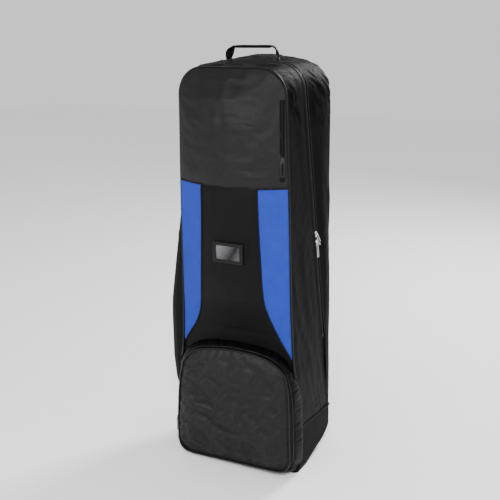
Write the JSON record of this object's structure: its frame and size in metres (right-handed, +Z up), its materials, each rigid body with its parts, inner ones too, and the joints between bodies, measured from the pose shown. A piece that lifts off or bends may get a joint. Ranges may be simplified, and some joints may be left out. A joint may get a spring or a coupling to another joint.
{
  "type": "golf travel case",
  "caption": "Tall soft case for a golf bag: front cover that folds down, arched shoe pocket, side pocket, top handle and recessed wheels.",
  "frame": {"origin": "centre of the flat rest face of the base", "axes": "+Z up along the case, -Y out of the front with the shoe pocket, +X to the right of someone facing the front"},
  "size_m": [0.4813, 0.3368, 1.308],
  "materials": {
    "shell_black": "woven nylon, slight sheen",
    "boot_black": "coated coarse weave",
    "panel_blue": "matte woven polyester",
    "lining_grey": "thin plain weave",
    "piping_black": "tight weave over cord",
    "zip_black": "twill tape with nylon coil",
    "webbing_black": "ribbed webbing",
    "window_clear": "clear vinyl",
    "card_grey": "smooth card",
    "board_plastic": "moulded sheet",
    "housing_plastic": "fine texture",
    "hub_plastic": "smooth",
    "tyre_rubber": "satin",
    "axle_steel": "plain",
    "foam_grey": "foam under lining cloth",
    "slider_silver": "nickel plated, worn satin",
    "slider_black": "black enamel"
  },
  "bodies": {
    "rear_shell": {"base_panel": "boot_black", "base_board": "board_plastic", "boot_sides": "boot_black", "boot_back": "boot_black", "lower_gussets": "shell_black", "rear_gusset_left": "shell_black", "rear_gusset_right": "shell_black", "rear_gusset_top": "shell_black", "back_panel": "shell_black", "lower_front_panel": "shell_black", "blue_tips": "panel_blue", "main_zip_rear": "zip_black", "shoe_pocket_gusset": "shell_black", "shoe_zip_rear": "zip_black", "side_pocket_face": "shell_black", "side_pocket_gusset": "shell_black", "side_pocket_zip": "zip_black", "handle_patches": "piping_black", "wheel_housing_left": "housing_plastic", "wheel_housing_right": "housing_plastic", "wheel_axles": "axle_steel", "housing_rivets": "axle_steel", "compression_straps": "webbing_black", "buckle_sockets": "housing_plastic", "club_head_pad": "foam_grey"},
    "front_cover": {"front_gusset_left": "shell_black", "front_gusset_right": "shell_black", "front_gusset_top": "shell_black", "front_piping": "piping_black", "centre_panel": "shell_black", "blue_panel_left": "panel_blue", "blue_panel_right": "panel_blue", "upper_front_panel": "shell_black", "top_pocket_lining": "lining_grey", "main_zip_front": "zip_black", "top_pocket_zip": "zip_black", "window_patch": "piping_black", "window_lens": "window_clear", "window_frame": "piping_black"},
    "shoe_pocket_flap": {"shoe_zip_front": "zip_black", "shoe_pocket_face": "shell_black", "shoe_pocket_piping": "piping_black"},
    "id_card": {"id_card": "card_grey"},
    "top_handle": {"top_handle": "webbing_black"},
    "wheel_left": {"wheel_hub_left": "hub_plastic", "wheel_tyre_left": "tyre_rubber"},
    "wheel_right": {"wheel_hub_right": "hub_plastic", "wheel_tyre_right": "tyre_rubber"},
    "upper_buckle_plug": {"upper_buckle_plug": "housing_plastic"},
    "lower_buckle_plug": {"lower_buckle_plug": "housing_plastic"},
    "main_upper_slider": {"main_upper_slider": "slider_silver"},
    "main_upper_pull": {"main_upper_pull": "slider_silver"},
    "main_lower_slider": {"main_lower_slider": "slider_silver"},
    "main_lower_pull": {"main_lower_pull": "slider_silver"},
    "top_pocket_slider": {"top_pocket_slider": "slider_black"},
    "top_pocket_pull": {"top_pocket_pull": "slider_black"},
    "shoe_pocket_slider": {"shoe_pocket_slider": "slider_black"},
    "shoe_pocket_pull": {"shoe_pocket_pull": "slider_black"},
    "side_pocket_slider": {"side_pocket_slider": "slider_black"},
    "side_pocket_pull": {"side_pocket_pull": "slider_black"}
  },
  "joints": [
    {"name": "front_cover_fold", "type": "hinge", "parent": "rear_shell", "child": "front_cover", "pos_m": [0, -0.137, 0.455], "axis": [1, 0, 0], "range_deg": [0, 85]},
    {"name": "shoe_pocket_flap_fold", "type": "hinge", "parent": "rear_shell", "child": "shoe_pocket_flap", "pos_m": [0, -0.1884, 0.002], "axis": [1, 0, 0], "range_deg": [0, 80]},
    {"name": "top_handle_tilt", "type": "hinge", "parent": "rear_shell", "child": "top_handle", "pos_m": [0, 0, 1.2741], "axis": [1, 0, 0], "range_deg": [-70, 70], "stiffness_Nm_per_rad": 0.1},
    {"name": "id_card_slide", "type": "slide", "parent": "front_cover", "child": "id_card", "axis": [0, 0, 1], "range_m": [0, 0.05]},
    {"name": "wheel_left_spin", "type": "hinge", "parent": "rear_shell", "child": "wheel_left", "pos_m": [-0.118, 0.112, 0.0375], "axis": [1, 0, 0], "continuous": true},
    {"name": "wheel_right_spin", "type": "hinge", "parent": "rear_shell", "child": "wheel_right", "pos_m": [0.118, 0.112, 0.0375], "axis": [1, 0, 0], "continuous": true},
    {"name": "upper_buckle_release", "type": "slide", "parent": "rear_shell", "child": "upper_buckle_plug", "axis": [1, 0, 0], "range_m": [0, 0.04]},
    {"name": "lower_buckle_release", "type": "slide", "parent": "rear_shell", "child": "lower_buckle_plug", "axis": [1, 0, 0], "range_m": [0, 0.04]},
    {"name": "main_upper_slider_travel", "type": "slide", "parent": "rear_shell", "child": "main_upper_slider", "axis": [-0.0243, -0.1263, 0.9917], "range_m": [0, 0.41]},
    {"name": "main_upper_pull_swing", "type": "hinge", "parent": "main_upper_slider", "child": "main_upper_pull", "pos_m": [0.19812, 0.02504, 0.74411], "axis": [0.0148, -0.7959, -0.6052], "range_deg": [0, 150]},
    {"name": "main_lower_slider_travel", "type": "slide", "parent": "rear_shell", "child": "main_lower_slider", "axis": [-0.0243, -0.1263, 0.9917], "range_m": [-0.3, 0]},
    {"name": "main_lower_pull_swing", "type": "hinge", "parent": "main_lower_slider", "child": "main_lower_pull", "pos_m": [0.19881, 0.0286, 0.71611], "axis": [0.0031, -0.992, -0.1263], "range_deg": [0, 150]},
    {"name": "top_pocket_slider_travel", "type": "slide", "parent": "front_cover", "child": "top_pocket_slider", "axis": [0, 0, 1], "range_m": [-0.045, 0.15]},
    {"name": "top_pocket_pull_swing", "type": "hinge", "parent": "top_pocket_slider", "child": "top_pocket_pull", "pos_m": [0.16848, -0.14978, 0.997], "axis": [-0.9402, -0.3405, 0], "range_deg": [0, 150]},
    {"name": "shoe_pocket_slider_travel", "type": "slide", "parent": "rear_shell", "child": "shoe_pocket_slider", "axis": [0.0245, 0, 0.9997], "range_m": [-0.04, 0.17]},
    {"name": "shoe_pocket_pull_swing", "type": "hinge", "parent": "shoe_pocket_slider", "child": "shoe_pocket_pull", "pos_m": [-0.20941, -0.1712, 0.12011], "axis": [0, 1, 0], "range_deg": [0, 150]},
    {"name": "side_pocket_slider_travel", "type": "slide", "parent": "rear_shell", "child": "side_pocket_slider", "axis": [0.0245, 0, 0.9997], "range_m": [-0.5, 0]},
    {"name": "side_pocket_pull_swing", "type": "hinge", "parent": "side_pocket_slider", "child": "side_pocket_pull", "pos_m": [-0.25643, -0.02, 0.75211], "axis": [0, 1, 0], "range_deg": [0, 150]}
  ]
}
